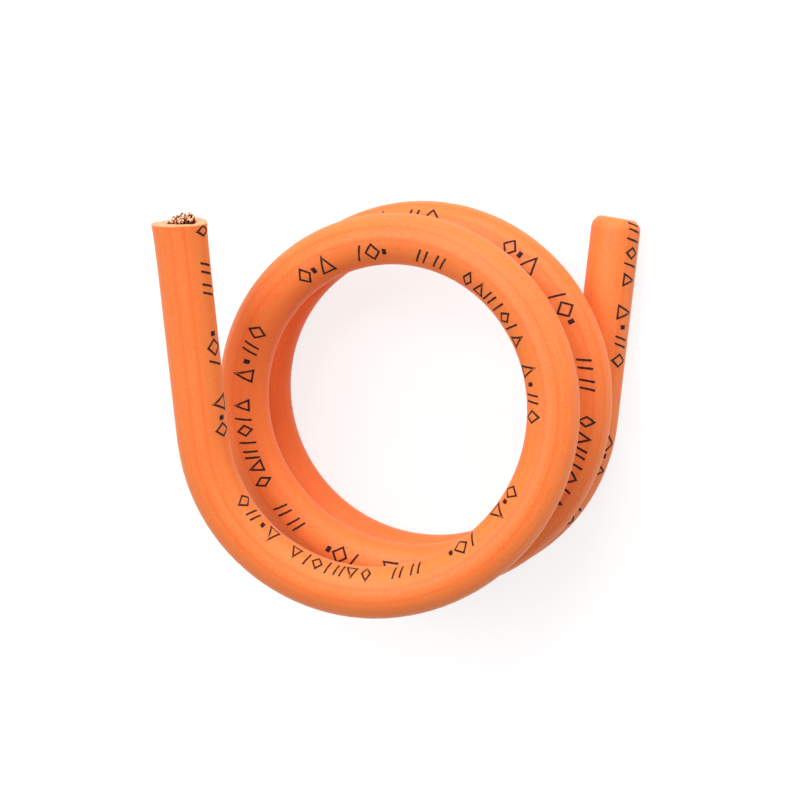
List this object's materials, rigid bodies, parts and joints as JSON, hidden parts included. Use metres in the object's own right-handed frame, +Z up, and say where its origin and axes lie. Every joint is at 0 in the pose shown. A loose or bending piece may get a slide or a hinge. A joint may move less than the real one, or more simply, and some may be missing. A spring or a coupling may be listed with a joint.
{
  "type": "fusible link wire",
  "caption": "Hand-wound coil of insulated stranded copper link wire with thick rubber insulation and two plain cut ends.",
  "frame": {"origin": "on the surface that the coil lies on, under the middle of its bounding box", "axes": "+Z up, through the coil as it lies; +X across the two straight ends, from the upper end to the lower; +Y roughly the way both cut ends point"},
  "size_m": [0.0448, 0.04, 0.0257],
  "materials": {
    "insulation": "orange rubber with a dull shine",
    "copper": "bright cut copper"
  },
  "bodies": {
    "root": {"insulation": "insulation", "strand_01": "copper", "strand_02": "copper", "strand_03": "copper", "strand_04": "copper", "strand_05": "copper", "strand_06": "copper", "strand_07": "copper", "strand_08": "copper", "strand_09": "copper", "strand_10": "copper", "strand_11": "copper", "strand_12": "copper", "strand_13": "copper", "strand_14": "copper", "strand_15": "copper", "strand_16": "copper", "strand_17": "copper", "strand_18": "copper", "strand_19": "copper", "strand_20": "copper", "strand_21": "copper", "strand_22": "copper", "strand_23": "copper", "strand_24": "copper", "strand_25": "copper", "strand_26": "copper", "strand_27": "copper", "strand_28": "copper", "strand_29": "copper", "strand_30": "copper", "strand_31": "copper", "strand_32": "copper", "strand_33": "copper", "strand_34": "copper", "strand_35": "copper", "strand_36": "copper", "strand_37": "copper"}
  },
  "joints": []
}
